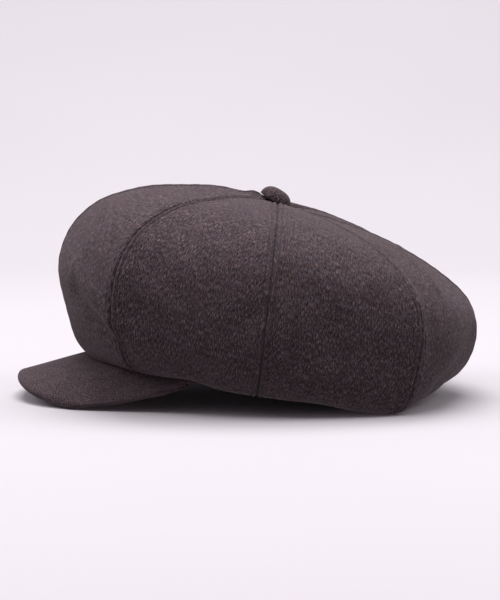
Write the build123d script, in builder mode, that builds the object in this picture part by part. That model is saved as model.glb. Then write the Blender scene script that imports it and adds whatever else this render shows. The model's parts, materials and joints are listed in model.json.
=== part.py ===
"""An eight-panel newsboy cap lying on a table, in millimetres.

The visor points to -Y and the wearer's left side is +X. The cap rests on the two side edges
of its visor and on the fold at the back of its crown, so the head opening leans back a little.
The crown is eight cloth panels sewn from the opening up to a covered button. Inside it are
eight lining panels, a sweatband, the band's interlining and the tape that binds the visor
seam. The visor is a curved board between two cloths and tilts a little about its seam.
"""

import os
from math import cos, hypot, radians, sin

from build123d import *

# Driving dimensions
LEAN = 6.8  # how far the head opening leans back, in degrees
POLE_BASE = (0, 5.8, 13.1)  # where the crown's axis meets the plane of the head opening
PANEL_ANGLE = 45
WOOL = 1.4  # thickness of the crown's cloth
LINING = 0.5
LINING_DEPTH = 2.6  # from the wool's face to the lining

# Seam profiles at the front, the side and the back: distance from the crown's axis and
# height above the opening. They run from the opening, round the fold and over to the button.
FRONT = [(110.4, 4), (120.5, 14), (129.5, 34), (135.5, 56), (133, 76), (119.5, 97), (94, 112),
         (60, 117), (28, 118), (5, 113)]
SIDE = [(87.5, 3), (101, 3), (112, 14), (119, 34), (119, 57), (112, 79), (92, 99),
        (60, 111), (28, 114.5), (5, 112.5)]
BACK = [(97.6, 1), (113, 4.5), (127, 13), (137, 27), (140, 43), (135.5, 60), (113, 80),
        (72, 98.5), (32, 107.5), (5, 110.5)]
# How square the crown is in plan at each of those points, where 2 is an oval
FRONT_SQUARENESS = [2, 2.2, 2.5, 2.5, 2.5, 2.5, 2.4, 2.2, 2, 2]
BACK_SQUARENESS = [2, 3, 2.7, 2.5, 2.5, 2.5, 2.4, 2.2, 2, 2]
# How far the cloth hangs lower where the crown turns its corners, and each place's share
FRONT_HANG = [3, 1.5, 0, 0, 0, 0, 0, 0, 0, 0]
BACK_HANG = [0, 6, 9.5, 6, 0, 0, 0, 0, 0, 0]
HANG_SHARE = {22.5: 0.5, 45: 1, 67.5: -0.3, 112.5: 0.7, 135: 1, 157.5: -0.2}
# How a panel runs between its seams: 0 is flat and 1 as round as the crown.
FULLNESS = [1, 0.9, 0.7, 0.6, 0.55, 0.55, 0.55, 0.6, 0.8, 1]

# What stands up inside the opening, from the crown's edge inwards: gap to the edge, thickness,
# and lowest and highest place above the opening
SEAM_ALLOWANCE = (1.7, 1.0, 1, 9)
VISOR_TAPE = (2.8, 0.5, 3, 13)
INTERLINING = (3.4, 0.7, 3, 25)
SWEATBAND = (4.2, 0.9, 1, 30)
LABEL = (5.2, 0.4, 9, 22)
LABEL_WIDTH = 24.0

# Visor: two cross sections of its curved top face, and its outline in plan
VISOR_FRONT = {"y": -154.6, "half": 60, "ridge": 14.5, "edge": -1.8}
VISOR_REAR = {"y": -24.6, "half": 92, "ridge": 49.2, "edge": 14.3}
VISOR_CORNER_Y = -32.6
VISOR_HALF_WIDTH = 84.0
VISOR_REACH = 117.5  # from the corners' line to the tip
VISOR_SQUARENESS = 2.4
VISOR_CUT_Y = -37.6  # the corners end bluntly here
VISOR_CLOTH = 1.3
VISOR_BOARD = 1.4
VISOR_HEM = 3.0  # the cloths' rim outside the board
VISOR_GAP = 1.0  # between visor and crown, so that the visor can tilt

# Covered button
BUTTON_RADIUS = 10.6
BUTTON_HEIGHT = 6.4
BUTTON_TILT = 24.0  # how far it leans back from the crown's own axis
BUTTON_LIFT = 115.5  # of the middle of its back, above the opening
BUTTON_FORWARD = 1.5  # in front of the crown's axis
BUTTON_CLOTH = 1.0
BUTTON_SHELL = 0.5
PLATE_THICK = 1.0
PLATE_LIFT = 0.9  # of the plate inside the shell
THREAD_RADIUS = 1.4
THREAD_ROOM = 0.5
THREAD_TOP = 118
TIP_SEAMS = (4.4, 108.2, 112.8)  # radius, lowest and highest place of the gathered tips
BACKING = (13.0, 105.2, 106.4)  # the same for the disc under the lining

SIDES = {"left": 1, "right": -1}
PANELS = ["front", "side_front", "side_back", "back"]

opening = Plane(
    origin=POLE_BASE, x_dir=(1, 0, 0), z_dir=(0, sin(radians(LEAN)), cos(radians(LEAN)))
)
finished = []


def finish(builder, name):
    """Names a piece and keeps it for writing."""
    builder.part.label = name
    finished.append(builder.part)


# Crown and lining panels


def profile(azimuth):
    """The seam line's points at an azimuth from the front, on the smooth crown."""
    forward, sideways = abs(cos(radians(azimuth))), abs(sin(radians(azimuth)))
    if cos(radians(azimuth)) < 0:
        ends, squareness, hangs = BACK, BACK_SQUARENESS, BACK_HANG
    else:
        ends, squareness, hangs = FRONT, FRONT_SQUARENESS, FRONT_HANG
    share = HANG_SHARE.get(abs(azimuth), 0)
    points = []
    for end, side, power, hang in zip(ends, SIDE, squareness, hangs):
        nearness = (forward / end[0]) ** power + (sideways / side[0]) ** power
        height = end[1] * forward**2 + side[1] * sideways**2 - hang * share
        points.append((nearness ** (-1 / power), height))
    return points


def middle_profile(first, second):
    """The line up the middle of a panel, between the flat and the round shape."""
    half_angle = cos(radians(second - first) / 2)
    seams = zip(profile(first), profile(second))
    points = []
    for (a, b), (own, height), full in zip(seams, profile((first + second) / 2), FULLNESS):
        flat = 2 * a[0] * b[0] * half_angle / (a[0] + b[0])
        points.append((flat + full * (own - flat), height))
    return points


def inset(points, depth):
    """The same line, moved into the crown by depth."""
    moved = []
    for i, (r, h) in enumerate(points):
        before, after = points[max(i - 1, 0)], points[min(i + 1, len(points) - 1)]
        along = (after[0] - before[0], after[1] - before[1])
        length = hypot(*along)
        moved.append((r - depth * along[1] / length, h + depth * along[0] / length))
    return moved


def upright(azimuth):
    """The plane through the crown's axis at an azimuth: X runs outwards and Y up."""
    outwards = opening.x_dir * sin(radians(azimuth)) - opening.y_dir * cos(radians(azimuth))
    return Plane(origin=opening.origin, x_dir=outwards, z_dir=outwards.cross(opening.z_dir))


def panel(name, first, second, depth, thick, start=0):
    """One tapered panel, lofted from seam to middle to seam."""
    lines = {
        first: profile(first),
        (first + second) / 2: middle_profile(first, second),
        second: profile(second),
    }
    with BuildPart() as piece:
        for azimuth, points in lines.items():
            outside = inset(points, depth)[start:]
            inside = inset(points, depth + thick)[start:]
            with BuildSketch(upright(azimuth)):
                with BuildLine():
                    Spline(*outside)
                    Line(outside[-1], inside[-1])
                    Spline(*inside)
                    Line(inside[0], outside[0])
                make_face()
        loft()
    finish(piece, name)


for side, sign in SIDES.items():
    for i, place in enumerate(PANELS):
        edges = sorted((sign * i * PANEL_ANGLE, sign * (i + 1) * PANEL_ANGLE))
        panel(f"crown_panel_{place}_{side}", *edges, 0, WOOL)
        panel(f"lining_panel_{place}_{side}", *edges, LINING_DEPTH, LINING, start=1)


# Sweatband and what is sewn to it


def band(name, size, window=None):
    """A ring that follows the opening's edge, or the part of it inside a window."""
    gap, thick, low, high = size
    base = opening.offset(low)
    with BuildPart() as piece:
        with BuildSketch(base):
            for inward, mode in ((gap, Mode.ADD), (gap + thick, Mode.SUBTRACT)):
                width = SIDE[0][0] - inward
                with BuildLine():
                    EllipticalCenterArc((0, 0), width, FRONT[0][0] - inward, 180, arc_size=180)
                    EllipticalCenterArc((0, 0), width, BACK[0][0] - inward, 0, arc_size=180)
                make_face(mode=mode)
        extrude(amount=high - low)
        if window:
            width, first, last = window
            with BuildSketch(base):
                with Locations((0, (first + last) / 2)):
                    Rectangle(width, last - first)
            extrude(amount=high - low, mode=Mode.INTERSECT)
    finish(piece, name)


corner_line = VISOR_CUT_Y - POLE_BASE[1]
band("crown_seam_allowance", SEAM_ALLOWANCE)
band("visor_seam_tape", VISOR_TAPE, (4 * VISOR_HALF_WIDTH, -2 * FRONT[0][0], corner_line))
band("band_interlining", INTERLINING)
band("sweatband", SWEATBAND)
band("blank_label", LABEL, (LABEL_WIDTH, 0, BACK[0][0]))


# Visor


def visor_layer(top, bottom, rim):
    """The visor between two depths under its top face, cut off rim inside its outline."""
    quarter = []
    for turn in range(0, 91, 15):
        across = (VISOR_HALF_WIDTH - rim) * sin(radians(turn)) ** (2 / VISOR_SQUARENESS)
        ahead = (VISOR_REACH - rim) * cos(radians(turn)) ** (2 / VISOR_SQUARENESS)
        quarter.append((across, VISOR_CORNER_Y - ahead))
    outline = [(-x, y) for x, y in reversed(quarter[1:])] + quarter
    beside, before = SIDE[0][0], FRONT[0][0] * cos(radians(LEAN))
    with BuildPart() as layer:
        for station in (VISOR_FRONT, VISOR_REAR):
            half, ridge, edge = station["half"], station["ridge"], station["edge"]
            slope = 2 * (ridge - edge) / half
            lean_x, lean_z = slope / hypot(slope, 1), 1 / hypot(slope, 1)
            upper = (half - top * lean_x, edge - top * lean_z)
            lower = (half - bottom * lean_x, edge - bottom * lean_z)
            with BuildSketch(Plane.XZ.offset(-station["y"])):
                with BuildLine():
                    ThreePointArc((-upper[0], upper[1]), (0, ridge - top), upper)
                    Line(upper, lower)
                    ThreePointArc(lower, (0, ridge - bottom), (-lower[0], lower[1]))
                    Line((-lower[0], lower[1]), (-upper[0], upper[1]))
                make_face()
        loft(ruled=True)
        with BuildSketch(Plane.XY.offset(-VISOR_HALF_WIDTH)):
            with BuildLine():
                Spline(*outline, tangents=[(0, -1), (0, 1)])
                Line(outline[-1], outline[0])
            make_face()
            with Locations((0, POLE_BASE[1])):
                grow = VISOR_GAP + rim
                Ellipse(beside + grow, before + grow, mode=Mode.SUBTRACT)
            with Locations((0, VISOR_CUT_Y - rim)):
                block = (4 * VISOR_HALF_WIDTH, VISOR_REACH)
                Rectangle(*block, align=(Align.CENTER, Align.MIN), mode=Mode.SUBTRACT)
        extrude(amount=2 * VISOR_HALF_WIDTH, mode=Mode.INTERSECT)
    return layer.part


board_top = VISOR_CLOTH
board_bottom = VISOR_CLOTH + VISOR_BOARD
visor_bottom = board_bottom + VISOR_CLOTH
meeting = visor_bottom / 2  # the depth where the two cloths meet round the board
upper_half = visor_layer(0, meeting, 0)
lower_half = visor_layer(meeting, visor_bottom, 0)
upper_room = visor_layer(board_top, visor_bottom, VISOR_HEM)
lower_room = visor_layer(0, board_bottom, VISOR_HEM)

with BuildPart() as visor_top_cloth:
    add(upper_half)
    add(upper_room, mode=Mode.SUBTRACT)
finish(visor_top_cloth, "visor_top_cloth")

with BuildPart() as visor_under_cloth:
    add(lower_half)
    add(lower_room, mode=Mode.SUBTRACT)
finish(visor_under_cloth, "visor_under_cloth")

with BuildPart() as visor_board:
    add(visor_layer(board_top, board_bottom, VISOR_HEM))
finish(visor_board, "visor_board")


# Covered button, made about its own leaning axis

button_back = opening.from_local_coords((0, -BUTTON_FORWARD, BUTTON_LIFT))
button_plane = Plane(button_back, opening.x_dir, opening.z_dir).rotated((-BUTTON_TILT, 0, 0))
button_side = Plane(
    origin=button_plane.origin, x_dir=button_plane.x_dir, z_dir=button_plane.y_dir * -1
)


def dome(depth):
    """Half the outline of the button's dome, at a depth under its face."""
    rim, top = BUTTON_RADIUS - depth, BUTTON_HEIGHT - depth
    Spline((rim, depth / 2), (0.93 * rim, 0.62 * top), (0, top), tangents=[(0, 1), (-1, 0)])


def domed_shell(name, outer, inner):
    """A domed cap between two depths under the button's face."""
    with BuildPart() as piece:
        with BuildSketch(button_side):
            with BuildLine():
                dome(outer)
                dome(inner)
                Line((BUTTON_RADIUS - outer, outer / 2), (BUTTON_RADIUS - inner, inner / 2))
                Line((0, BUTTON_HEIGHT - outer), (0, BUTTON_HEIGHT - inner))
            make_face()
        revolve(axis=Axis(button_plane.origin, button_plane.z_dir))
    finish(piece, name)


def disc(name, plane, radius, hole, thick):
    """A round disc with a hole for the thread, standing on a plane."""
    with BuildPart() as piece:
        with BuildSketch(plane):
            Circle(radius)
            Circle(hole, mode=Mode.SUBTRACT)
        extrude(amount=thick)
    finish(piece, name)


domed_shell("button_cover", 0, BUTTON_CLOTH)
domed_shell("button_shell", BUTTON_CLOTH, BUTTON_CLOTH + BUTTON_SHELL)
thread_hole = THREAD_RADIUS + THREAD_ROOM
plate_radius = BUTTON_RADIUS - BUTTON_CLOTH - BUTTON_SHELL - THREAD_ROOM
plate_hole = thread_hole + BUTTON_FORWARD
disc("button_plate", button_plane.offset(PLATE_LIFT), plate_radius, plate_hole, PLATE_THICK)
for name, (radius, low, high) in {"crown_tip_seams": TIP_SEAMS, "button_backing": BACKING}.items():
    disc(name, opening.offset(low), radius, thread_hole, high - low)

with BuildPart() as button_thread:
    with BuildSketch(opening.offset(BACKING[1])):
        Circle(THREAD_RADIUS)
    extrude(amount=THREAD_TOP - BACKING[1])
finish(button_thread, "button_thread")

os.makedirs("parts", exist_ok=True)
for piece in finished:
    export_step(piece, f"parts/{piece.label}.step")
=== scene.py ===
import json
import math

import bpy
import numpy as np
from mathutils import Matrix, Vector
from mathutils.bvhtree import BVHTree


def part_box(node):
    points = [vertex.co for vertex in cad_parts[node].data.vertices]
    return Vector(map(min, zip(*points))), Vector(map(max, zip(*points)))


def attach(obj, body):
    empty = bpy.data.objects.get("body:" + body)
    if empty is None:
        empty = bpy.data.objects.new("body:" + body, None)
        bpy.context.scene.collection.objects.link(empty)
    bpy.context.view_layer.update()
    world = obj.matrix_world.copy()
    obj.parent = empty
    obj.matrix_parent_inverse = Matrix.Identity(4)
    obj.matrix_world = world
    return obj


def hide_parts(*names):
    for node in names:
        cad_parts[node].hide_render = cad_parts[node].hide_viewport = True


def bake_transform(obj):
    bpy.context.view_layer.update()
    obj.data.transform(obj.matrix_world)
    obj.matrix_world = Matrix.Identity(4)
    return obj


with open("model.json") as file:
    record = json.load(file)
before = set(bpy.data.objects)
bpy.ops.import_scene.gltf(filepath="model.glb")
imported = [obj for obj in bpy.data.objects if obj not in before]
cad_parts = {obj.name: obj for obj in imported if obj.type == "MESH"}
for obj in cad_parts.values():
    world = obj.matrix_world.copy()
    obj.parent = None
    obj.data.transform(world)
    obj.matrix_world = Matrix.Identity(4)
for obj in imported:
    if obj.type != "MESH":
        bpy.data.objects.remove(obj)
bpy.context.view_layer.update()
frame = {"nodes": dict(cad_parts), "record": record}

# The cap as the frame gives it. The crown's axis runs square to the head opening and through
# the button's thread. The heart is a point on it, halfway up, that sees every part of the
# crown's wall once.
MM = 0.001
opening = frame["record"]["mounts"][0]
up = -Vector(opening["axis"]).normalized()
left = Vector((1, 0, 0))
forward = left.cross(up)
tip = (Vector(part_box("crown_tip_seams")[0]) + Vector(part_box("crown_tip_seams")[1])) / 2
heart = tip - 62 * MM * up
opening_height = (Vector(opening["pos_m"]) - heart).dot(up)


def direction(azimuth, rise):
    """From the heart: azimuth from the front to the wearer's left, and the rise, in degrees."""
    a, e = math.radians(azimuth), math.radians(rise)
    level = left * math.sin(a) + forward * math.cos(a)
    return level * math.cos(e) + up * math.sin(e)


# Crown: eight panels of melange wool coating, 1.4 mm thick and faintly felted. Each is cut
# tapered, sewn to the next with pressed-open seams, and topstitched beside the seams.
WOOL_THICKNESS = 1.4 * MM
PANELS = ["front", "side_front", "side_back", "back"]
SIDES = {"left": 1, "right": -1}
PANEL_ANGLE = 45
ACROSS, ALONG = 65, 160  # cloth points across a panel and up it
SEAM_HEIGHT = 2.5 * MM  # of the crown's lower seam above the opening
SEAM_DEPTH = 1.7 * MM  # from the crown's face in to its folded seam allowance
REACH = 0.4  # where rays from outside start, in metres from the heart
EDGE_MET, EDGE_MISSED = -8, -60  # rises in degrees above and below the crown's lower edge
TIP_MISSED, TIP_MET = 90, 60  # rises in the thread's hole at the tip, and in the cloth round it
SAMPLES = 160  # rays cast to follow one line up the crown
TOPSTITCH_OFFSET = 3.5  # mm from the seam
ALLOWANCE_WIDTH = 6.5  # mm of cloth folded back under each side of a seam
GATHER_RADIUS = 1.8 * MM  # the tips are gathered round the button's thread
TURN_WIDTH = 0.9 * MM  # the least width of cloth that is turned under to reach the seam
TURN_BELLY = 0.6 * MM  # how far that turned cloth hangs down between its ends


def shell_tree(names):
    """All these nodes' surfaces, for casting rays onto."""
    corners, faces = [], []
    for name in names:
        mesh = frame["nodes"][name].data
        faces += [[len(corners) + i for i in face.vertices] for face in mesh.polygons]
        corners += [vertex.co.copy() for vertex in mesh.vertices]
    return BVHTree.FromPolygons(corners, faces)


crown_names = [f"crown_panel_{place}_{side}" for side in SIDES for place in PANELS]
crown_tree = shell_tree(crown_names)
allowance_tree = shell_tree(["crown_seam_allowance"])


def cast(tree, azimuth, rise, inner=False):
    """Where the shell's outer or inner face lies in a direction, or None."""
    ray = direction(azimuth, rise)
    if inner:
        return tree.ray_cast(heart, ray)[0]
    return tree.ray_cast(heart + REACH * ray, -ray, REACH)[0]


def rim_rise(tree, azimuth, inside, outside, inner):
    """The rise at which the shell ends, between one that meets it and one that misses."""
    for _ in range(13):
        middle = (inside + outside) / 2
        if cast(tree, azimuth, middle, inner) is None:
            outside = middle
        else:
            inside = middle
    return inside


def turned_under(line, azimuth):
    """A line up the crown, begun at the seam if the cloth hangs below it and turns back up."""
    foot = heart + (opening_height + SEAM_HEIGHT) * up
    level = direction(azimuth, 0)
    hit = allowance_tree.ray_cast(foot + REACH * level, -level, REACH)[0]
    seam = hit + SEAM_DEPTH * level
    beyond = Vector(line[0]) - seam
    if beyond.dot(level) < TURN_WIDTH:
        return line
    shares = np.array([[0.0], [0.35], [0.7]])
    turned = np.array(seam) + shares * np.array(beyond)
    turned[1:] -= np.array(up) * TURN_BELLY
    return np.concatenate([turned, line])


def meridian(tree, azimuth, count, inner=False):
    """Evenly spaced points up the shell, from the opening to the tip.

    A ray that slips between two faces is corrected by its neighbours."""
    low = rim_rise(tree, azimuth, EDGE_MET, EDGE_MISSED, inner)
    high = rim_rise(tree, azimuth, TIP_MET, TIP_MISSED, inner)
    rises = np.linspace(low, high, SAMPLES)
    hits = [cast(tree, azimuth, rise, inner) for rise in rises]
    reach = np.array([(hit - heart).length if hit else 0.0 for hit in hits])
    padded = np.pad(reach, 4, mode="edge")
    steady = np.median([padded[i : i + len(reach)] for i in range(9)], axis=0)
    reach = np.where(abs(reach - steady) > 0.5 * MM, steady, reach)
    pairs = zip(rises.tolist(), reach.tolist())
    line = np.array([heart + direction(azimuth, rise) * length for rise, length in pairs])
    if not inner:
        line = turned_under(line, azimuth)
    steps = np.r_[0, np.cumsum(np.linalg.norm(np.diff(line, axis=0), axis=1))]
    wanted = np.linspace(0, steps[-1], count)
    return np.stack([np.interp(wanted, steps, line[:, k]) for k in range(3)], axis=1)


def spread(count):
    """Shares from 0 to 1, of which a fifth lie close together at each end, near the seams."""
    close = count // 5
    knots = [0, close, count - 1 - close, count - 1]
    return np.interp(np.arange(count), knots, [0, 0.075, 0.925, 1])


def panel_grid(tree, first, last, across, along, inner=False):
    """Points of one panel, as rows up the panel and columns from seam to seam."""
    nudge = 0.02 * (1 if last > first else -1)  # degrees in from the seam itself
    azimuths = first + nudge + (last - first - 2 * nudge) * spread(across)
    return np.stack([meridian(tree, a, along, inner) for a in azimuths], axis=1)


def outward(grid):
    """The unit normal at each point of a grid, pointing away from the heart."""
    up_grid, over_grid = np.gradient(grid, axis=0), np.gradient(grid, axis=1)
    normal = np.cross(up_grid, over_grid)
    normal /= np.maximum(np.linalg.norm(normal, axis=2, keepdims=True), 1e-12)
    facing = np.sign(((grid - np.array(heart)) * normal).sum(axis=2).mean())
    return normal * facing


def run_lengths(grid, axis):
    """Distance along the rows or columns of a grid, in mm, from their start."""
    steps = np.linalg.norm(np.diff(grid, axis=axis), axis=2) / MM
    start = np.zeros_like(np.take(steps, [0], axis=axis))
    return np.cumsum(np.concatenate([start, steps], axis=axis), axis=axis)


def waves(points, length, seed):
    """Soft random waves of about that length, in metres, between -1 and 1."""
    rng = np.random.default_rng(seed)
    total = np.zeros(points.shape[:-1])
    for _ in range(7):
        way = rng.normal(size=3)
        way /= np.linalg.norm(way)
        turn = 2 * np.pi / (length * rng.uniform(0.7, 1.4))
        total += np.sin(points @ way * turn + rng.uniform(0, 2 * np.pi))
    return total / 4


def along_line(points, ends, width):
    """1 on a line between points of the crown, falling to 0 over a width in metres."""
    line = [np.array(p) for p in ends]
    nearest = np.full(points.shape[:-1], np.inf)
    for start, end in zip(line, line[1:]):
        run = end - start
        share = np.clip(((points - start) @ run) / (run @ run), 0, 1)
        offset = points - (start + share[..., None] * run)
        nearest = np.minimum(nearest, np.linalg.norm(offset, axis=-1))
    return np.exp(-((nearest / width) ** 2))


# Heights and depths in mm beside a seam: the valley where two panels meet, the rise of the
# cloth over its allowances, its roll next to the valley, the dent under the topstitch, and
# the pucker that the stitches leave
VALLEY, RISE, ROLL, DENT, PUCKER = 1.15, 0.30, 0.22, 0.55, 0.08


def seam_relief(distance, along):
    """How a sewn edge stands above the smooth crown, in mm, at a distance from the seam."""
    valley = -VALLEY * np.exp(-((distance / 0.75) ** 2))
    rise = RISE * np.clip((ALLOWANCE_WIDTH - distance) / 1.5, 0, 1) * np.clip(distance / 0.8, 0, 1)
    roll = ROLL * np.exp(-(((distance - 1.9) / 0.8) ** 2))
    stitched = -DENT * np.exp(-(((distance - TOPSTITCH_OFFSET) / 0.65) ** 2))
    pucker = PUCKER * np.sin(along / 1.45) * np.exp(-((distance / 6) ** 2))
    return valley + rise + roll + stitched + pucker


# Folds and dents that the cloth keeps, each a line of azimuths and rises with its height in mm
# above the smooth crown and its width in mm
CREASES = [
    ([(22, 6), (36, 0), (46, -7)], 1.7, 5),  # across the left front panel
    ([(24, -1), (38, -7), (46, -13)], -2.6, 7),
    ([(53, -4), (62, -12), (69, -20)], -2.6, 12),  # low on the left side
    ([(48, 8), (58, 2), (66, -2)], 1.0, 8),
    ([(86, 1)], -2.0, 8),  # a dimple on the left seam
    ([(97, 12), (108, 2), (112, -8)], -1.6, 10),
    ([(165, 28), (154, 21), (150, 13)], 2.2, 6),  # a ridge on the back panel
    ([(142, 30), (139, 16), (138, 4)], -2.0, 8),
    ([(0, 83), (0, 77)], 3.4, 6),  # the seam's bulk in front of the button
    ([(-28, 8), (-40, -3), (-50, -11)], -2.4, 8),
    ([(-26, 13), (-38, 3), (-50, -5)], 1.4, 5),
    ([(-70, -6), (-84, -14)], -2.6, 12),
    ([(-95, 12), (-108, 4), (-118, -8)], -1.8, 9),
    ([(-160, 26), (-150, 14)], 2.0, 7),
    ([(172, -2), (160, -8), (150, -14)], -2.0, 9),
    ([(-176, 4), (-166, -7), (-155, -13)], -2.0, 10),
]


def folds(grid):
    """How the soft cloth swells and sinks between its seams, in mm."""
    along = run_lengths(grid, 0)
    calm = np.clip(along / 12, 0, 1) * np.clip((along[-1:] - along) / 15, 0, 1)
    height = calm * (waves(grid, 75 * MM, 5) + 0.4 * waves(grid, 32 * MM, 6))
    for ends, amount, width_mm in CREASES:
        spots = [cast(crown_tree, azimuth, rise) for azimuth, rise in ends]
        spots = spots * 2 if len(spots) == 1 else spots
        spots[-1] = spots[-1] + Vector((1e-6, 1e-6, 0))
        height += amount * along_line(grid, spots, width_mm * MM)
    return height


def relief(grid):
    """The crown cloth's height above the smooth crown, in mm."""
    over, along = run_lengths(grid, 1), run_lengths(grid, 0)
    beside = seam_relief(over, along) + seam_relief(over[:, -1:] - over, along + 1.7)
    return beside + folds(grid)


visor_names = ("visor_top_cloth", "visor_under_cloth")
visor_trees = {name: shell_tree([name]) for name in visor_names}
visor_centre = Vector((0, (heart - 48 * MM * up).y, 0))  # on the crown's axis, in plan
HIGH, LOW = 0.2, -0.1  # heights in metres to look at the visor from
VISOR_STEP = 0.8 * MM  # between the places where the visor's reach is looked for


def visor_face(name, azimuth, radius):
    """The visor's top or under face at a place in plan, or None."""
    a = math.radians(azimuth)
    spot = visor_centre + Vector((math.sin(a), -math.cos(a), 0)) * radius
    if name == "visor_top_cloth":
        return visor_trees[name].ray_cast(spot + Vector((0, 0, HIGH)), Vector((0, 0, -1)))[0]
    return visor_trees[name].ray_cast(spot + Vector((0, 0, LOW)), Vector((0, 0, 1)))[0]


def visor_reach(name, azimuth):
    """A visor face's inner and outer radius in plan at an azimuth."""
    radii = np.arange(80 * MM, 170 * MM, VISOR_STEP)
    met = [r for r in radii if visor_face(name, azimuth, r) is not None]
    if not met:
        return None
    reach = []
    for inside, outside in ((met[0], met[0] - VISOR_STEP), (met[-1], met[-1] + VISOR_STEP)):
        for _ in range(10):
            middle = (inside + outside) / 2
            if visor_face(name, azimuth, middle) is None:
                outside = middle
            else:
                inside = middle
        reach.append(inside)
    return reach


def eased(value, start, end):
    """0 before the start and 1 after the end, with a smooth rise between."""
    share = np.clip((value - start) / (end - start), 0, 1)
    return share * share * (3 - 2 * share)


SHOULDER_LIFT = 3.6  # mm


def visor_lift(x, y, share):
    """How far the visor's shoulders stand above the plain arch, in mm.

    The share runs from the visor's root, where the crown pulls it up, to its edge."""
    shoulder = eased(abs(x) / MM, 22, 58)
    corner = eased(y / MM, -84, -48)
    near_root = (1 - share) ** 1.2
    return SHOULDER_LIFT * shoulder * (near_root + (1 - near_root) * corner)


VISOR_WIDEST = 61.0  # degrees from the front to near the visor's corners
VISOR_AIR = 0.6  # mm between the visor and the crown's edge that rests on it
EDGE_LIP = 1.4  # mm that the crown's edge stands out over the visor
EDGE_SAG = 3.0  # mm that it sags beside the visor's corners
LET_DOWN = 26  # mm of cloth above the edge that takes up both


def crown_edge(azimuth):
    """The crown's lower edge at an azimuth."""
    nudged = azimuth + (0.05 if azimuth % PANEL_ANGLE == 0 else 0)
    rise = rim_rise(crown_tree, nudged, EDGE_MET, EDGE_MISSED, False)
    return cast(crown_tree, nudged, rise)


def edge_drop(azimuth):
    """How far the crown's lower edge hangs below its seam line, in mm.

    In front it rests on the visor, and beside the visor's corners it sags a little."""
    sag = EDGE_SAG * math.exp(-(((abs(azimuth) - 80) / 20) ** 2))
    edge = crown_edge(azimuth)
    nearest = max(-VISOR_WIDEST, min(VISOR_WIDEST, azimuth))
    just_outside = visor_reach("visor_top_cloth", nearest)[0] + 0.5 * MM
    spot = visor_face("visor_top_cloth", nearest, just_outside)
    rest = (edge.z - spot.z) / MM - visor_lift(spot.x, spot.y, 0) - VISOR_AIR
    return rest + (sag - rest) * eased(abs(azimuth), VISOR_WIDEST - 3, VISOR_WIDEST + 12)


def hanging(grid, first, last):
    """A panel's grid with its lower edge let down and out over the visor."""
    azimuths = first + (last - first) * spread(ACROSS)
    drops = np.array([edge_drop(float(a)) for a in azimuths])
    evened = np.convolve(np.pad(drops, 2, mode="edge"), np.ones(5) / 5, mode="valid")
    lip = EDGE_LIP * (1 - eased(abs(azimuths), VISOR_WIDEST - 6, VISOR_WIDEST + 6))
    near = 1 - eased(run_lengths(grid, 0), 0, LET_DOWN)
    away = np.array([direction(float(a), 0) for a in azimuths])
    down = -np.array(up)
    return grid + near[..., None] * (evened[:, None] * down + lip[:, None] * away) * MM


def off_the_floor(grid):
    """A grid with nothing below the floor, and room under it for a stitch."""
    lifted = grid.copy()
    lifted[..., 2] = np.maximum(lifted[..., 2], 0.25 * MM)
    return lifted


def sheet_mesh(name, grid, normal, thickness, uv_shift=(0.0, 0.0)):
    """A sheet of cloth through a grid of points, its face along the normal.

    The UV map is the flat cloth in metres: U across it and V up it."""
    rows, columns = grid.shape[:2]
    over, along = run_lengths(grid, 1) * MM, run_lengths(grid, 0) * MM
    over = over - over[:, -1:] / 2 + uv_shift[0]
    along = along + uv_shift[1]
    index = np.arange(rows * columns).reshape(rows, columns)
    faces = np.stack([index[:-1, :-1], index[:-1, 1:], index[1:, 1:], index[1:, :-1]], axis=-1)
    row, column = rows // 2, columns // 2
    corner = grid[row, column]
    face_normal = np.cross(grid[row, column + 1] - corner, grid[row + 1, column] - corner)
    if face_normal @ normal[row, column] < 0:
        faces = faces[..., ::-1]
    mesh = bpy.data.meshes.new(name)
    mesh.from_pydata(grid.reshape(-1, 3).tolist(), [], faces.reshape(-1, 4).tolist())
    layer = mesh.uv_layers.new(name="cloth")
    loops = np.empty(len(mesh.loops), dtype=np.int32)
    mesh.loops.foreach_get("vertex_index", loops)
    flat = np.stack([over.ravel(), along.ravel()], axis=1)[loops]
    layer.data.foreach_set("uv", flat.ravel().astype(np.float32))
    mesh.shade_smooth()
    piece = bpy.data.objects.new(name, mesh)
    bpy.context.collection.objects.link(piece)
    wall = piece.modifiers.new("thickness", "SOLIDIFY")
    wall.thickness = thickness
    wall.offset = -1
    apply_modifiers(piece)
    return piece


def apply_modifiers(piece):
    """Applies a piece's modifiers, in order."""
    bpy.ops.object.select_all(action="DESELECT")
    bpy.context.view_layer.objects.active = piece
    piece.select_set(True)
    for modifier in list(piece.modifiers):
        bpy.ops.object.modifier_apply(modifier=modifier.name)
    piece.select_set(False)


def linear(colour):
    """An sRGB hex colour as the linear RGBA that Blender's sockets take."""
    channels = [int(colour[i : i + 2], 16) / 255 for i in (1, 3, 5)]
    return [c / 12.92 if c <= 0.04045 else ((c + 0.055) / 1.055) ** 2.4 for c in channels] + [1]


def add_node(tree, kind, settings=None, stops=(), **inputs):
    """Adds a node with its settings, a ramp's stops from places to sRGB hex colours, and its
    inputs by name, or by number as i0. An input is a value, or a socket to link."""
    node = tree.nodes.new(kind)
    for name, value in (settings or {}).items():
        setattr(node, name, value)
    for number, (place, colour) in enumerate(stops):
        elements = node.color_ramp.elements
        stop = elements[number] if number < len(elements) else elements.new(place)
        stop.position, stop.color = place, linear(colour)
    for name, value in inputs.items():
        key = int(name[1:]) if name[0] == "i" and name[1:].isdigit() else name.replace("_", " ")
        if isinstance(value, bpy.types.NodeSocket):
            tree.links.new(value, node.inputs[key])
        else:
            node.inputs[key].default_value = value
    return node


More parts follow.
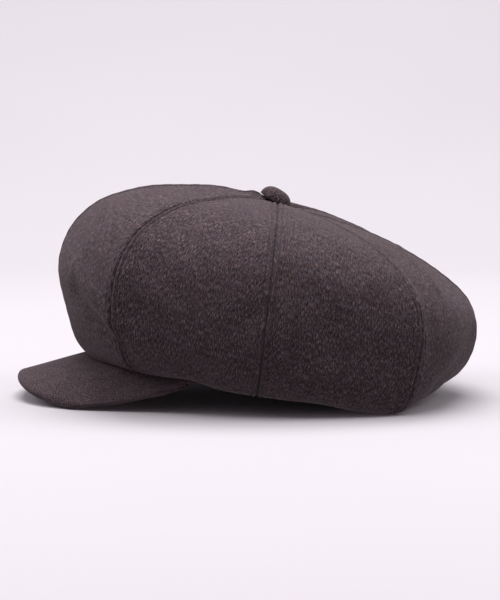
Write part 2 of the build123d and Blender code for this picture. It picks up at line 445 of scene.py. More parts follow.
def new_material(name, **surface):
    """A material with one principled shader, which is returned with its tree."""
    material = bpy.data.materials.new(name)
    material.use_nodes = True
    tree = material.node_tree
    tree.nodes.clear()
    shader = add_node(tree, "ShaderNodeBsdfPrincipled", **surface)
    add_node(tree, "ShaderNodeOutputMaterial", Surface=shader.outputs[0])
    return material, tree, shader


def fibre_noise(tree, cloth, angle, width_mm, length_mm, detail=2.0):
    """Noise drawn out into streaks: fibres of that size lying at an angle to the grain."""
    turned = add_node(tree, "ShaderNodeMapping", Vector=cloth, Rotation=(0, 0, math.radians(angle)))
    scaled = add_node(
        tree,
        "ShaderNodeMapping",
        Vector=turned.outputs[0],
        Scale=(1 / (width_mm * MM), 1 / (length_mm * MM), 1 / (width_mm * MM)),
    )
    noise = add_node(
        tree, "ShaderNodeTexNoise", Vector=scaled.outputs[0], Scale=1.0, Detail=detail, Roughness=0.6
    )
    return noise.outputs[0]


def melange_wool(name, uv, streak_mm):
    """Melange wool coating: a felted weave of dark brown, grey and a few reddish fibres.

    Its nap scatters light softly, with a pale sheen at grazing angles. Real fibres are 0.03 mm
    wide, so they are drawn as tufts about 0.35 mm wide to show at all."""
    material, tree, shader = new_material(
        name, Roughness=0.92, IOR=1.45, Sheen_Weight=0.12, Sheen_Roughness=0.5
    )
    shader.inputs["Specular IOR Level"].default_value = 0.18
    shader.inputs["Sheen Tint"].default_value = linear("#d9cdd2")
    if uv:
        cloth = add_node(tree, "ShaderNodeUVMap", {"uv_map": "cloth"}).outputs[0]
    else:
        cloth = add_node(tree, "ShaderNodeTexCoord").outputs["Object"]
    lengthwise = fibre_noise(tree, cloth, 5, 0.36, streak_mm, 3.0)
    crossing = fibre_noise(tree, cloth, -20, 0.34, 0.6 * streak_mm, 3.0)
    hue = fibre_noise(tree, cloth, 9, 0.7, 1.2 * streak_mm, 1.0)
    mottle = fibre_noise(tree, cloth, 0, 8.0, 12.0, 2.0)
    fibres = add_node(
        tree,
        "ShaderNodeValToRGB",
        stops=[(0.36, "#1c1416"), (0.47, "#3a2d31"), (0.54, "#57484d"), (0.63, "#ab9da1")],
        Fac=lengthwise,
    )
    crossed = add_node(
        tree,
        "ShaderNodeValToRGB",
        stops=[(0.38, "#1f1619"), (0.50, "#3f3237"), (0.62, "#978990")],
        Fac=crossing,
    )
    dyed = add_node(
        tree,
        "ShaderNodeValToRGB",
        stops=[(0.38, "#7a7aa0"), (0.50, "#86787c"), (0.62, "#a8745c")],
        Fac=hue,
    )
    worn = add_node(
        tree, "ShaderNodeValToRGB", stops=[(0.35, "#cdcdcd"), (0.65, "#ffffff")], Fac=mottle
    )
    colour = fibres.outputs[0]
    for kind, share, layer in (("MIX", 0.45, crossed), ("OVERLAY", 0.40, dyed), ("MULTIPLY", 0.6, worn)):
        colour = add_node(
            tree,
            "ShaderNodeMix",
            {"data_type": "RGBA", "blend_type": kind},
            i0=share,
            i6=colour,
            i7=layer.outputs[0],
        ).outputs[2]
    tree.links.new(colour, shader.inputs["Base Color"])
    height = add_node(tree, "ShaderNodeMath", {"operation": "ADD"}, i0=lengthwise, i1=crossing)
    bump = add_node(
        tree, "ShaderNodeBump", Strength=0.3, Distance=0.25 * MM, Height=height.outputs[0]
    )
    tree.links.new(bump.outputs[0], shader.inputs["Normal"])
    return material


# The button's own frame: its back plate gives its middle and the way it faces, and its cover
# gives its size.
plate = np.array([vertex.co for vertex in frame["nodes"]["button_plate"].data.vertices])
plate_centre = Vector(plate.mean(axis=0))
button_axis = Vector(np.linalg.svd(plate - plate.mean(axis=0), full_matrices=False)[2][2])
button_axis = button_axis if button_axis.z > 0 else -button_axis
shape = [vertex.co - plate_centre for vertex in frame["nodes"]["button_cover"].data.vertices]
lifts = [point.dot(button_axis) for point in shape]
BUTTON_RADIUS = max((p - lift * button_axis).length for p, lift in zip(shape, lifts))
BUTTON_HEIGHT = max(lifts) - min(lifts)
BUTTON_SINK = 1.5 * MM  # how far the button is pulled down into the crown
BUTTON_AIR = 0.25 * MM  # between the button's back and the cloth under it
DIMPLE_WIDTH = 6 * MM  # of the pressed cloth that shows round the button
DIMPLE_SLOPE = 1.3


def under_button(grid):
    """A grid of the crown with the cloth pressed down below the button's back."""
    back = np.array(plate_centre + (min(lifts) - BUTTON_SINK - BUTTON_AIR) * button_axis)
    axis = np.array(button_axis)
    height = (grid - back) @ axis
    radius = np.linalg.norm(grid - back - height[..., None] * axis, axis=-1)
    allowed = np.clip(radius - BUTTON_RADIUS, 0, None) * DIMPLE_SLOPE
    pressed = np.clip(height - allowed, 0, None) * (radius < BUTTON_RADIUS + DIMPLE_WIDTH)
    return grid - pressed[..., None] * axis


# The crown's front and side-front pieces are left unattached, with their place baked into their
# meshes, and the other crown pieces are attached to the crown. The fall-off that these set is worked out
# but not applied.
GIVE_HEIGHT = 30  # mm above the opening
FOLLOW_HEIGHT = 4  # mm above the opening
GIVE_BACK = 60  # mm behind the seam beside the front panel


def follow(piece, place, sign):
    """A piece of the crown: the front and side-front pieces keep their baked place, and the others are
    attached to the crown.
    """
    fall = -up / (GIVE_HEIGHT - FOLLOW_HEIGHT)
    if place == "side_front":
        fall = fall - direction(sign * (PANEL_ANGLE + 90), 0) / GIVE_BACK
    elif place != "front":
        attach(piece, "crown")
        return
    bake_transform(piece)


GATHER_ROWS = 4  # rows of points in the gathered tip


def gathered(grid, rows):
    """A panel's grid with its tip drawn in to the button's thread."""
    last = grid[-1]
    axis, foot = np.array(up), np.array(tip)
    height = ((last - foot) @ axis)[:, None]
    on_axis = foot + height * axis
    away = last - on_axis
    away /= np.linalg.norm(away, axis=1, keepdims=True)
    inner = on_axis + away * GATHER_RADIUS
    shares = np.linspace(0, 1, rows + 1)[1:, None, None]
    return np.concatenate([grid, last * (1 - shares) + inner * shares])


crown_wool = melange_wool("wool_coating_lengthwise", uv=True, streak_mm=3.4)
crown_grids = {}
for side, sign in SIDES.items():
    for number, place in enumerate(PANELS):
        name = f"crown_panel_{place}_{side}"
        first, last = sign * number * PANEL_ANGLE, sign * (number + 1) * PANEL_ANGLE
        hung = hanging(panel_grid(crown_tree, first, last, ACROSS, ALONG), first, last)
        smooth = gathered(hung, GATHER_ROWS)
        normal = outward(smooth)
        cloth = off_the_floor(under_button(smooth + normal * relief(smooth)[..., None] * MM))
        crown_grids[first, last] = cloth, normal
        # each panel is cut from another place on the roll, so no two have the same fibres
        place_on_roll = (0.31 * number + (0.17 if sign < 0 else 0), 0.23 * number)
        piece = sheet_mesh(name + "_cloth", cloth, normal, WOOL_THICKNESS, place_on_roll)
        piece.data.materials.append(crown_wool)
        follow(piece, place, sign)
        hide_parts(name)


# Topstitching: two rows of tone-on-tone polyester thread beside each crown seam, which hold
# the seam allowances flat. Each stitch sinks half its thickness into the wool.
STITCH_PITCH = 3.0  # mm from one stitch to the next
STITCH_LENGTH = 2.2  # mm
STITCH_THICKNESS = 0.45  # mm


def sewing_thread(name, colour):
    """Spun polyester sewing thread: a soft satin sheen with a fine twist of 0.5 mm."""
    material, tree, shader = new_material(name, Roughness=0.62, IOR=1.5)
    place = add_node(tree, "ShaderNodeTexCoord").outputs["Object"]
    twist = add_node(
        tree, "ShaderNodeTexNoise", Vector=place, Scale=1 / (0.5 * MM), Detail=2.0
    ).outputs[0]
    dark, light = colour
    dye = add_node(tree, "ShaderNodeValToRGB", stops=[(0.35, dark), (0.7, light)], Fac=twist)
    tree.links.new(dye.outputs[0], shader.inputs["Base Color"])
    bump = add_node(tree, "ShaderNodeBump", Strength=0.3, Distance=0.1 * MM, Height=twist)
    tree.links.new(bump.outputs[0], shader.inputs["Normal"])
    return material


STITCH_SEGMENTS, STITCH_RINGS = 6, 5  # few, as there are thousands of stitches


def model_stitch():
    """One stitch lying along X, modelled once and copied along every row."""
    bpy.ops.object.select_all(action="DESELECT")
    bpy.ops.mesh.primitive_uv_sphere_add(
        segments=STITCH_SEGMENTS, ring_count=STITCH_RINGS, radius=0.5
    )
    stitch = bpy.context.object
    bpy.ops.object.mode_set(mode="EDIT")
    bpy.ops.mesh.select_all(action="SELECT")
    bpy.ops.transform.rotate(value=math.pi / 2, orient_axis="Y", center_override=(0, 0, 0))
    thin = STITCH_THICKNESS * MM
    bpy.ops.transform.resize(value=(STITCH_LENGTH * MM, thin, thin))
    bpy.ops.object.mode_set(mode="OBJECT")
    corners = np.array([vertex.co for vertex in stitch.data.vertices])
    faces = [list(face.vertices) for face in stitch.data.polygons]
    mesh = stitch.data
    bpy.data.objects.remove(stitch)
    bpy.data.meshes.remove(mesh)
    return corners, faces


stitch_corners, stitch_faces = model_stitch()


def stitch_row(name, lines, normals, material):
    """Stitches laid end to end along lines of points, as one piece."""
    corners, faces = [], []
    for line, normal in zip(lines, normals):
        steps = np.r_[0, np.cumsum(np.linalg.norm(np.diff(line, axis=0), axis=1))] / MM
        for place in np.arange(STITCH_PITCH, steps[-1] - STITCH_PITCH, STITCH_PITCH):
            ends = [place - STITCH_LENGTH / 2, place + STITCH_LENGTH / 2]
            start, end = [np.array([np.interp(e, steps, line[:, k]) for k in range(3)]) for e in ends]
            face = np.array([np.interp(place, steps, normal[:, k]) for k in range(3)])
            run = (end - start) / np.linalg.norm(end - start)
            side = np.cross(face, run)
            side /= np.linalg.norm(side)
            turn = np.stack([run, side, np.cross(run, side)])
            faces += [[len(corners) + i for i in f] for f in stitch_faces]
            corners += ((start + end) / 2 + stitch_corners @ turn).tolist()
    mesh = bpy.data.meshes.new(name)
    mesh.from_pydata(corners, [], faces)
    mesh.shade_smooth()
    mesh.materials.append(material)
    piece = bpy.data.objects.new(name, mesh)
    bpy.context.collection.objects.link(piece)
    return piece


def beside_seam(cloth, normal, distance, from_end):
    """The line on a panel at a distance in mm from its first or last seam.

    It stops short of the gathered tip, which the button covers."""
    over = run_lengths(cloth, 1)
    line, faces = [], []
    for row in range(2, len(cloth) - 2 * GATHER_ROWS):
        reach = over[row, -1] - distance if from_end else distance
        line.append([np.interp(reach, over[row], cloth[row, :, k]) for k in range(3)])
        faces.append([np.interp(reach, over[row], normal[row, :, k]) for k in range(3)])
    return np.array(line), np.array(faces)


crown_thread = sewing_thread("crown_topstitch_thread", ("#241c20", "#4a4045"))
for (first, last), (cloth, normal) in crown_grids.items():
    for from_end, azimuth in ((False, first), (True, last)):
        line, faces = beside_seam(cloth, normal, TOPSTITCH_OFFSET, from_end)
        towards = "ahead" if abs(azimuth) > abs(first + last) / 2 else "behind"
        side = "left" if first + last > 0 else "right"
        piece = stitch_row(
            f"topstitch_seam_{abs(azimuth)}_{side}_{towards}", [line], [faces], crown_thread
        )
        place = PANELS[min(abs(first), abs(last)) // PANEL_ANGLE]
        follow(piece, place, SIDES[side])


# What is folded up inside the opening: the crown's own seam allowance, the tape that binds the
# visor's seam, and the band's stiff interlining. They keep their frame shapes.
folded_wool = melange_wool("wool_coating_folded_edge", uv=False, streak_mm=1.2)


def recolour(name, material):
    """Gives a frame node a finished material and keeps its shape."""
    node = frame["nodes"][name]
    node.data.materials.clear()
    node.data.materials.append(material)


WAVE_SCALE = 0.314  # a wave texture's scale that repeats once in a metre
TWILL_ANGLE = 27  # degrees that the ribs lean


def woven_cloth(name, colours, thread_mm, uv=True, **surface):
    """A plain or twill cloth: crossing threads that show as fine diagonal ribs.

    Real threads are 0.15 to 0.3 mm wide. They are drawn about twice that to show."""
    material, tree, shader = new_material(name, **surface)
    if uv:
        cloth = add_node(tree, "ShaderNodeUVMap", {"uv_map": "cloth"}).outputs[0]
    else:
        cloth = add_node(tree, "ShaderNodeTexCoord").outputs["Object"]
    lean = (0, 0, math.radians(TWILL_ANGLE))
    turn = add_node(tree, "ShaderNodeMapping", Vector=cloth, Rotation=lean)
    ribs = [
        add_node(
            tree,
            "ShaderNodeTexWave",
            {"wave_type": "BANDS", "bands_direction": way, "wave_profile": "SIN"},
            Vector=turn.outputs[0],
            Scale=WAVE_SCALE / (2 * thread_mm * MM),
            Distortion=0.6,
            Detail=1.0,
        ).outputs[1]
        for way in ("X", "Y")
    ]
    weave = add_node(tree, "ShaderNodeMath", {"operation": "MULTIPLY"}, i0=ribs[0], i1=ribs[1])
    wear = add_node(tree, "ShaderNodeTexNoise", Vector=cloth, Scale=1 / (9 * MM), Detail=3.0)
    dark, mid, light = colours
    dyed = add_node(
        tree,
        "ShaderNodeValToRGB",
        stops=[(0.0, dark), (0.45, mid), (1.0, light)],
        Fac=weave.outputs[0],
    )
    worn = add_node(
        tree, "ShaderNodeValToRGB", stops=[(0.3, "#c4c4c4"), (0.7, "#ffffff")], Fac=wear.outputs[0]
    )
    colour = add_node(
        tree,
        "ShaderNodeMix",
        {"data_type": "RGBA", "blend_type": "MULTIPLY"},
        i0=0.7,
        i6=dyed.outputs[0],
        i7=worn.outputs[0],
    )
    tree.links.new(colour.outputs[2], shader.inputs["Base Color"])
    bump = add_node(
        tree, "ShaderNodeBump", Strength=0.5, Distance=0.15 * MM, Height=weave.outputs[0]
    )
    tree.links.new(bump.outputs[0], shader.inputs["Normal"])
    return material


recolour("crown_seam_allowance", folded_wool)
recolour("crown_tip_seams", folded_wool)
herringbone = woven_cloth(
    "cotton_herringbone_tape", ("#1c181a", "#332d30", "#4b4448"), 0.5, uv=False, Roughness=0.85
)
recolour("visor_seam_tape", herringbone)
stiff_web = woven_cloth(
    "stiffened_interlining", ("#a49c8f", "#c7bfb1", "#dcd6ca"), 0.6, uv=False, Roughness=0.9
)
recolour("band_interlining", stiff_web)


# Lining: eight panels of dark satin, sewn like the crown and a little loose inside it. Satin's
# long floating threads give it a soft streak of gloss along the panel.
LINING_THICKNESS = 0.5 * MM
LINING_ACROSS, LINING_ALONG = 27, 80  # cloth points across a panel and up it
SLACK = 1.2  # mm that the middle of a panel hangs away from the crown
lining_satin = woven_cloth(
    "viscose_satin_lining",
    ("#17131a", "#241f27", "#37303a"),
    0.35,
    Roughness=0.38,
    Anisotropic=0.5,
    Sheen_Weight=0.1,
)
lining_names = [f"lining_panel_{place}_{side}" for side in SIDES for place in PANELS]
lining_tree = shell_tree(lining_names)
for side, sign in SIDES.items():
    for number, place in enumerate(PANELS):
        name = f"lining_panel_{place}_{side}"
        first, last = sign * number * PANEL_ANGLE, sign * (number + 1) * PANEL_ANGLE
        smooth = panel_grid(lining_tree, first, last, LINING_ACROSS, LINING_ALONG, inner=True)
        inward = -outward(smooth)
        over, along = run_lengths(smooth, 1), run_lengths(smooth, 0)
        edge = np.minimum(over, over[:, -1:] - over)
        loose = np.clip(edge / 12, 0, 1) * np.clip(along / 15, 0, 1)
        loose = loose * np.clip((along[-1:] - along) / 20, 0, 1)
        swell = 0.8 * waves(smooth, 40 * MM, 11) + 0.35 * waves(smooth, 15 * MM, 12)
        seam_ridge = 0.5 * np.exp(-((edge / 1.2) ** 2))
        height = loose * (SLACK + swell) + seam_ridge + np.clip(-folds(smooth), 0, None)
        piece = sheet_mesh(
            name + "_cloth", smooth + inward * height[..., None] * MM, inward, LINING_THICKNESS
        )
        piece.data.materials.append(lining_satin)
        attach(piece, "crown")
        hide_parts(name)


# Sweatband: a ring of dark cotton twill with a rolled top edge, lockstitched near its lower
# edge. The blank label is a woven patch tacked to it at the back.
SWEATBAND_THICKNESS = 0.9 * MM
BAND_HEIGHT = 29  # mm
LOCKSTITCH_HEIGHT = 3  # mm above its lower edge
LOCKSTITCH_ROW = 3  # the row of the band's points next above the lockstitch's groove
band_tree = shell_tree(["sweatband"])
twill = woven_cloth("cotton_twill_band", ("#161315", "#2b2629", "#433c40"), 0.6, Roughness=0.8)
BAND_AROUND, BAND_ROWS = 240, 25


def band_radius(azimuth):
    """The band's inner radius at mid height, from the crown's axis."""
    level = direction(azimuth, 0)
    foot = heart + (opening_height + 14 * MM) * up
    hit = band_tree.ray_cast(foot, level)[0]
    return (hit - foot).dot(level)


def band_grid(azimuths, low, high, rows, inset=0.0):
    """A strip that stands up inside the opening, between two heights in metres."""
    strip = []
    for height in np.linspace(low, high, rows).tolist():
        foot = heart + (opening_height + height) * up
        row = [foot + direction(a, 0) * (r - inset) for a, r in azimuths]
        strip.append([list(point) for point in row])
    return np.array(strip)


def facing_in(grid):
    """Normals of a standing strip, pointing at the crown's axis."""
    axis = np.array(up)
    away = grid - np.array(heart)
    away = away - (away @ axis)[..., None] * axis
    return -away / np.linalg.norm(away, axis=2, keepdims=True)


turns = [(a, band_radius(a)) for a in np.linspace(-180, 180, BAND_AROUND + 1).tolist()]
turns[-1] = turns[0]
smooth = band_grid(turns, 0, BAND_HEIGHT * MM, BAND_ROWS)
heights = np.linspace(0, BAND_HEIGHT, BAND_ROWS)[:, None]
inward = facing_in(smooth)
angles = np.radians([a for a, _ in turns])[None, :]
rolled_top = -0.8 * np.exp(-(((BAND_HEIGHT - heights) / 2.0) ** 2))
rolled_foot = -0.5 * np.exp(-((heights / 1.2) ** 2))
sewn = -0.35 * np.exp(-(((heights - LOCKSTITCH_HEIGHT) / 0.7) ** 2))
ripple = 0.45 * np.sin(9 * angles + 1.3) + 0.3 * np.sin(23 * angles)
ripple = ripple * (heights / BAND_HEIGHT) ** 1.5
stand = 0.1 + rolled_top + rolled_foot + sewn + ripple  # mm in from the smooth ring
band_cloth = smooth + inward * stand[..., None] * MM
sweatband = sheet_mesh("sweatband_twill", band_cloth, inward, SWEATBAND_THICKNESS)
sweatband.data.materials.append(twill)
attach(sweatband, "crown")
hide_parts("sweatband")

band_thread = sewing_thread("band_lockstitch_thread", ("#3a3337", "#5d555a"))
lockstitch = stitch_row(
    "sweatband_lockstitch", [band_cloth[LOCKSTITCH_ROW]], [inward[LOCKSTITCH_ROW]], band_thread
)
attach(lockstitch, "crown")

LABEL_THICKNESS = 0.4 * MM
LABEL_FLAT = (24 * MM, 13 * MM)
LABEL_FOOT = 8 * MM  # above the opening
LABEL_ACROSS, LABEL_UP = 33, 19  # cloth points along it and up it
label_reach = math.degrees(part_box("blank_label")[1][0] / band_radius(180))
label_span = np.linspace(180 - label_reach, 180 + label_reach, LABEL_ACROSS)
label_turns = [(a, band_radius(a)) for a in label_span]
label_top = LABEL_FOOT + LABEL_FLAT[1]
label_flat = band_grid(label_turns, LABEL_FOOT, label_top, LABEL_UP, inset=LABEL_THICKNESS)
label_in = facing_in(label_flat)
over, along = run_lengths(label_flat, 1), run_lengths(label_flat, 0)
hem = np.minimum(np.minimum(over, over[:, -1:] - over), np.minimum(along, along[-1:] - along))
puff = 0.25 * np.clip(hem / 2.0, 0, 1) - 0.2 * np.exp(-(((hem - 1.2) / 0.5) ** 2))
label_cloth = label_flat + label_in * puff[..., None] * MM
label = sheet_mesh("blank_label_woven", label_cloth, label_in, LABEL_THICKNESS)
damask = woven_cloth("damask_label", ("#6d655c", "#8f877c", "#b3aca1"), 0.3, Roughness=0.55)
label.data.materials.append(damask)
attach(label, "crown")
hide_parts("blank_label")
ring = [label_cloth[2], label_cloth[-3], label_cloth[:, 2], label_cloth[:, -3]]
ring_in = [label_in[2], label_in[-3], label_in[:, 2], label_in[:, -3]]
tacks = stitch_row("blank_label_stitches", ring, ring_in, band_thread)
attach(tacks, "crown")


# Visor: a curved board between two wool cloths, sewn together round the edge and turned, so
# the edge is a soft roll with the seam in the middle of it. No stitching shows.
VISOR_COLUMNS, VISOR_ROWS = 121, 34  # cloth points round the visor and out to its edge
VISOR_TUCK = 1.2 * MM  # how far the cloths reach in under the crown, past the board's gap
VISOR_WOOL = 1.3 * MM  # the wool's thickness, pressed as it is over the board
EDGE_ROLL = 2.0  # mm in from the edge where the cloths start to roll together
EDGE_GAP = 0.01  # the share of the visor's half thickness that they stay apart at the edge
FACE_MARGIN = 0.02 * MM  # keeps a ray off the very edge of a face
PUFF = 0.25  # mm that the pressed cloth stands off the board, in soft waves
PLACE_ON_ROLL = (0.9, 0.4)  # where it is cut from the roll of wool, past the crown's panels
row_shares = 1 - (1 - np.linspace(0, 1, VISOR_ROWS)) ** 1.7  # rows lie closer near the edge


def visor_columns():
    """Azimuths across the visor, with the inner and outer radius of each."""
    widest, step = 55.0, 0.1
    while visor_reach("visor_top_cloth", widest + step) is not None:
        widest += step
    shares = np.linspace(-1, 1, VISOR_COLUMNS)
    azimuths = widest * (0.75 * shares + 0.25 * np.sin(shares * np.pi / 2))
    return [(azimuth, visor_reach("visor_top_cloth", azimuth)) for azimuth in azimuths]


visor_fan = visor_columns()


def visor_grid(name):
    """One of the visor's faces, rolled over at its outer edge to meet the other one."""
    grid = np.zeros((VISOR_ROWS, VISOR_COLUMNS, 3))
    middle = np.zeros((VISOR_ROWS, VISOR_COLUMNS))
    for column, (azimuth, (inner, outer)) in enumerate(visor_fan):
        own = {face: visor_reach(face, azimuth) for face in visor_names}
        for row, share in enumerate(row_shares):
            radius = inner + (outer - inner) * share
            spots = {}
            for face in visor_names:
                near, far = own[face] or (inner, outer)
                within = min(max(radius, near + FACE_MARGIN), far - FACE_MARGIN)
                spots[face] = visor_face(face, azimuth, within)
            grid[row, column, :2] = spots["visor_top_cloth"][:2]
            lift = visor_lift(*grid[row, column, :2], share) * MM
            grid[row, column, 2] = spots[name][2] + lift
            middle[row, column] = sum(spot[2] for spot in spots.values()) / 2 + lift
    rim = grid[-1, :, :2]
    for row in range(VISOR_ROWS):
        away = np.array([np.linalg.norm(rim - p, axis=1).min() for p in grid[row, :, :2]]) / MM
        inside = np.clip(1 - away / EDGE_ROLL, 0, 1)
        roll = np.minimum(1 - np.sqrt(1 - inside**2), 1 - EDGE_GAP)
        grid[row, :, 2] += (middle[row] - grid[row, :, 2]) * roll
    tucked = grid[:1].copy()
    centre = np.array(visor_centre)
    back = centre - tucked
    back[..., 2] = 0
    back /= np.linalg.norm(back, axis=2, keepdims=True)
    tucked += back * VISOR_TUCK
    return np.concatenate([tucked, grid])


visor_wool = melange_wool("wool_coating_visor", uv=True, streak_mm=1.3)
for name in visor_names:
    grid = visor_grid(name)
    facing = np.zeros_like(grid)
    facing[..., 2] = 1 if name == "visor_top_cloth" else -1
    puff = PUFF * waves(grid, 50 * MM, 21)
    cloth = off_the_floor(grid + facing * puff[..., None] * MM)
    piece = sheet_mesh(name + "_wool", cloth, facing, VISOR_WOOL, PLACE_ON_ROLL)
    piece.data.materials.append(visor_wool)
    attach(piece, "visor")
    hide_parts(name)
    plan = grid * np.array([1, 1, 0])


# The board is die-cut polyethylene sheet: off-white, waxy and slightly mottled. It keeps its
# frame shape but for the lift at the shoulders.
BOARD_MERGE = 0.001 * MM  # corners closer than this are one corner
board, board_tree, board_shader = new_material("visor_board_polyethylene", Roughness=0.5, IOR=1.51)
grain = add_node(
    board_tree,
    "ShaderNodeTexNoise",
    Vector=add_node(board_tree, "ShaderNodeTexCoord").outputs["Object"],
    Scale=1 / (2 * MM),
)
waxy = add_node(
    board_tree,
    "ShaderNodeValToRGB",
    stops=[(0.3, "#bdb8ad"), (0.7, "#d2cdc3")],
    Fac=grain.outputs[0],
)
board_tree.links.new(waxy.outputs[0], board_shader.inputs["Base Color"])
board_mesh = frame["nodes"]["visor_board"].data.copy()
board_piece = bpy.data.objects.new("visor_board_sheet", board_mesh)
bpy.context.collection.objects.link(board_piece)
bpy.ops.object.select_all(action="DESELECT")
bpy.context.view_layer.objects.active = board_piece
board_piece.select_set(True)
bpy.ops.object.mode_set(mode="EDIT")
bpy.ops.mesh.select_all(action="SELECT")
bpy.ops.mesh.remove_doubles(threshold=BOARD_MERGE)
bpy.ops.object.mode_set(mode="OBJECT")
reaches = np.array([(azimuth, *reach) for azimuth, reach in visor_fan])
for vertex in board_mesh.vertices:
    plan = vertex.co - visor_centre
    turn = math.degrees(math.atan2(plan.x, -plan.y))
    inner, outer = [float(np.interp(turn, reaches[:, 0], reaches[:, k])) for k in (1, 2)]
    share = min(max((math.hypot(plan.x, plan.y) - inner) / (outer - inner), 0), 1)
    vertex.co.z += visor_lift(vertex.co.x, vertex.co.y, share) * MM
board_mesh.materials.clear()
board_mesh.materials.append(board)
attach(board_piece, "visor")
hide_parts("visor_board")


# Covered button: a pressed steel shell with wool drawn tight over it and gathered behind, a
# back plate, and thread that goes down through the crown to a felt disc under the lining.
BUTTON_RIM = 1.0 * MM  # height of the widest place above the button's back
BUTTON_TOP = BUTTON_HEIGHT + BUTTON_SINK + 0.9 * MM  # its full thickness, a little domed
BUTTON_CUT = 0.8  # of its radius down, where the ball that it starts as is cut open
BUTTON_FULLNESS = 0.72  # 1 is a plain dome, and less is squarer at the shoulder
BUTTON_WOOL = 0.9 * MM  # the cloth's thickness, drawn tight
PLEATS, PLEAT_DEPTH = 17, 0.012  # the small tucks under its rim, and their share of its radius
button_base = plate_centre + (min(lifts) - BUTTON_SINK + BUTTON_RIM) * button_axis

bpy.ops.object.select_all(action="DESELECT")
bpy.ops.mesh.primitive_uv_sphere_add(segments=96, ring_count=48, radius=1.0)
cover = bpy.context.object
cover.name = "button_cover_wool"
bpy.ops.object.mode_set(mode="EDIT")
bpy.ops.mesh.select_all(action="SELECT")
bpy.ops.mesh.bisect(plane_co=(0, 0, -BUTTON_CUT), plane_no=(0, 0, 1), clear_inner=True)
bpy.ops.object.mode_set(mode="OBJECT")
turn_button = button_axis.to_track_quat("Z", "Y").to_matrix().to_4x4()
place_button = Matrix.Translation(button_base) @ turn_button
for vertex in cover.data.vertices:
    x, y, z = vertex.co
    radius, angle = math.hypot(x, y), math.atan2(y, x)
    fuller = radius**BUTTON_FULLNESS / max(radius, 1e-9)
    pleat = 1 + PLEAT_DEPTH * math.cos(PLEATS * angle) * math.exp(-(((z + 0.25) / 0.25) ** 2))
    height = z * (BUTTON_TOP - BUTTON_RIM) if z > 0 else z * BUTTON_RIM / BUTTON_CUT
    across = fuller * pleat * BUTTON_RADIUS
    vertex.co = place_button @ Vector((x * across, y * across, height))
cover.data.uv_layers.active.name = "cloth"
for loop in cover.data.loops:
    spot = place_button.inverted() @ cover.data.vertices[loop.vertex_index].co
    cover.data.uv_layers["cloth"].data[loop.index].uv = (spot.x + 0.55, spot.y + 0.35)
wall = cover.modifiers.new("cloth", "SOLIDIFY")
wall.thickness, wall.offset = BUTTON_WOOL, -1
apply_modifiers(cover)
cover.data.shade_smooth()
cover.data.materials.append(visor_wool)
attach(cover, "crown")
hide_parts("button_cover")

# the shell and plate are pressed steel with bright zinc on it: a cool grey, faintly clouded
steel, steel_tree, steel_shader = new_material(
    "zinc_plated_steel", Metallic=1.0, Roughness=0.35
)
clouded = add_node(
    steel_tree,
    "ShaderNodeTexNoise",
    Vector=add_node(steel_tree, "ShaderNodeTexCoord").outputs["Object"],
    Scale=1 / (0.8 * MM),
)
zinc = add_node(
    steel_tree,
    "ShaderNodeValToRGB",
    stops=[(0.3, "#9ea0a2"), (0.7, "#babcbd")],
    Fac=clouded.outputs[0],
)
steel_tree.links.new(zinc.outputs[0], steel_shader.inputs["Base Color"])
recolour("button_shell", steel)
recolour("button_plate", steel)
recolour("button_thread", sewing_thread("button_waxed_thread", ("#2a2326", "#4b4246")))
# the disc is pressed wool felt: matt, dark and matted in tufts of about a millimetre
felt, felt_tree, felt_shader = new_material("pressed_felt", Roughness=0.95, Sheen_Weight=0.2)
tufts = add_node(
    felt_tree,
    "ShaderNodeTexNoise",
    Vector=add_node(felt_tree, "ShaderNodeTexCoord").outputs["Object"],
    Scale=1 / (0.9 * MM),
    Detail=4.0,
)
matted = add_node(
    felt_tree, "ShaderNodeValToRGB", stops=[(0.3, "#1b171a"), (0.7, "#3b3438")], Fac=tufts.outputs[0]
)
felt_tree.links.new(matted.outputs[0], felt_shader.inputs["Base Color"])
recolour("button_backing", felt)


# Stage: a seamless pale sweep, whose floor curves up behind the cap, lit by soft boxes at
# both sides and overhead. The side that faces the camera gets the least light.
SWEEP_SIZE = 9
SWEEP_MIDDLE = 2.4  # metres from the cap towards the camera
SWEEP_HEIGHT = 4
SWEEP_BEND = 1.2
# matt coated paper: pale, and so even that only broad, faint clouds show on it
paper, paper_tree, paper_shader = new_material("white_paper_sweep", Roughness=0.9)
clouds = add_node(
    paper_tree,
    "ShaderNodeTexNoise",
    Vector=add_node(paper_tree, "ShaderNodeTexCoord").outputs["Object"],
    Scale=3.0,
)
pale = add_node(
    paper_tree,
    "ShaderNodeValToRGB",
    stops=[(0.3, "#d3cdd3"), (0.7, "#d5cfd5")],
    Fac=clouds.outputs[0],
)
paper_tree.links.new(pale.outputs[0], paper_shader.inputs["Base Color"])
bpy.ops.object.select_all(action="DESELECT")
bpy.ops.mesh.primitive_plane_add(size=SWEEP_SIZE, location=(SWEEP_MIDDLE, 0, 0))
sweep = bpy.context.object
sweep.name = "paper_sweep"
back = -SWEEP_SIZE / 2


def select_back_edge():
    """Selects the edge of the sweep that lies on the floor at its back, and nothing else."""
    for face in sweep.data.polygons:
        face.select = False
    for vertex in sweep.data.vertices:
        vertex.select = abs(vertex.co.x - back) < 0.01 and abs(vertex.co.z) < 0.01
    for edge in sweep.data.edges:
        edge.select = all(sweep.data.vertices[v].select for v in edge.vertices)


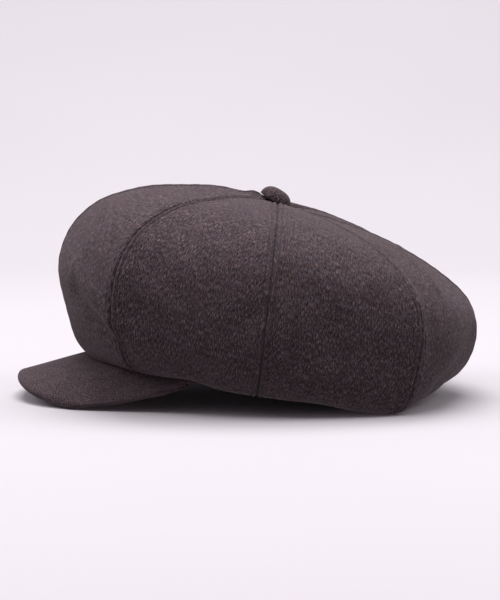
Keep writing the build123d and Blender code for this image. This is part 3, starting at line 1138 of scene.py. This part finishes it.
select_back_edge()
bpy.ops.object.mode_set(mode="EDIT")
bpy.ops.mesh.extrude_region_move(TRANSFORM_OT_translate={"value": (0, 0, SWEEP_HEIGHT)})
bpy.ops.object.mode_set(mode="OBJECT")
select_back_edge()
bpy.ops.object.mode_set(mode="EDIT")
bpy.ops.mesh.bevel(offset=SWEEP_BEND, segments=24, profile=0.5)
bpy.ops.object.mode_set(mode="OBJECT")
sweep.data.shade_smooth()
sweep.data.materials.append(paper)
sweep.visible_diffuse = False  # the cap's low parts get no glow from the floor, as if screened
bpy.context.scene.view_settings.view_transform = "Standard"

world = bpy.data.worlds.new("studio")
bpy.context.scene.world = world
world.use_nodes = True
surround = world.node_tree.nodes["Background"]
surround.inputs["Color"].default_value = linear("#f3eef3")
surround.inputs["Strength"].default_value = 0.33


def soft_box(name, place, size, power):
    """A soft box that faces the cap, with its place and size in metres and its power in watts."""
    lamp = bpy.data.lights.new(name, "AREA")
    lamp.shape, lamp.size, lamp.size_y = "RECTANGLE", size[0], size[1]
    lamp.energy = power
    box = bpy.data.objects.new(name, lamp)
    bpy.context.collection.objects.link(box)
    box.location = place
    aim = Vector((0, 0, 0.06)) - Vector(place)
    box.rotation_euler = aim.to_track_quat("-Z", "Y").to_euler()


soft_box("front_side_box", (0.1, -1.7, 1.3), (1.0, 1.0), 11)
soft_box("back_side_box", (-0.2, 1.7, 1.3), (1.0, 1.0), 9)
soft_box("overhead_box", (0.35, -0.1, 2.2), (1.8, 1.8), 32)
soft_box("backdrop_box", (-1.0, 0, 2.4), (2.0, 1.0), 36)

FOCAL, FRAME_WIDTH = 146.9, 36  # mm
DISTANCE = 1.6  # metres
ELEVATION = math.radians(6)
aim_at = Vector((0, 1.6 * MM, 62.25 * MM))
lens = bpy.data.cameras.new("camera")
lens.lens, lens.sensor_width = FOCAL, FRAME_WIDTH
camera = bpy.data.objects.new("camera", lens)
bpy.context.collection.objects.link(camera)
camera.location = aim_at + DISTANCE * Vector((math.cos(ELEVATION), 0, math.sin(ELEVATION)))
camera.rotation_euler = (aim_at - camera.location).to_track_quat("-Z", "Y").to_euler()
bpy.context.scene.camera = camera
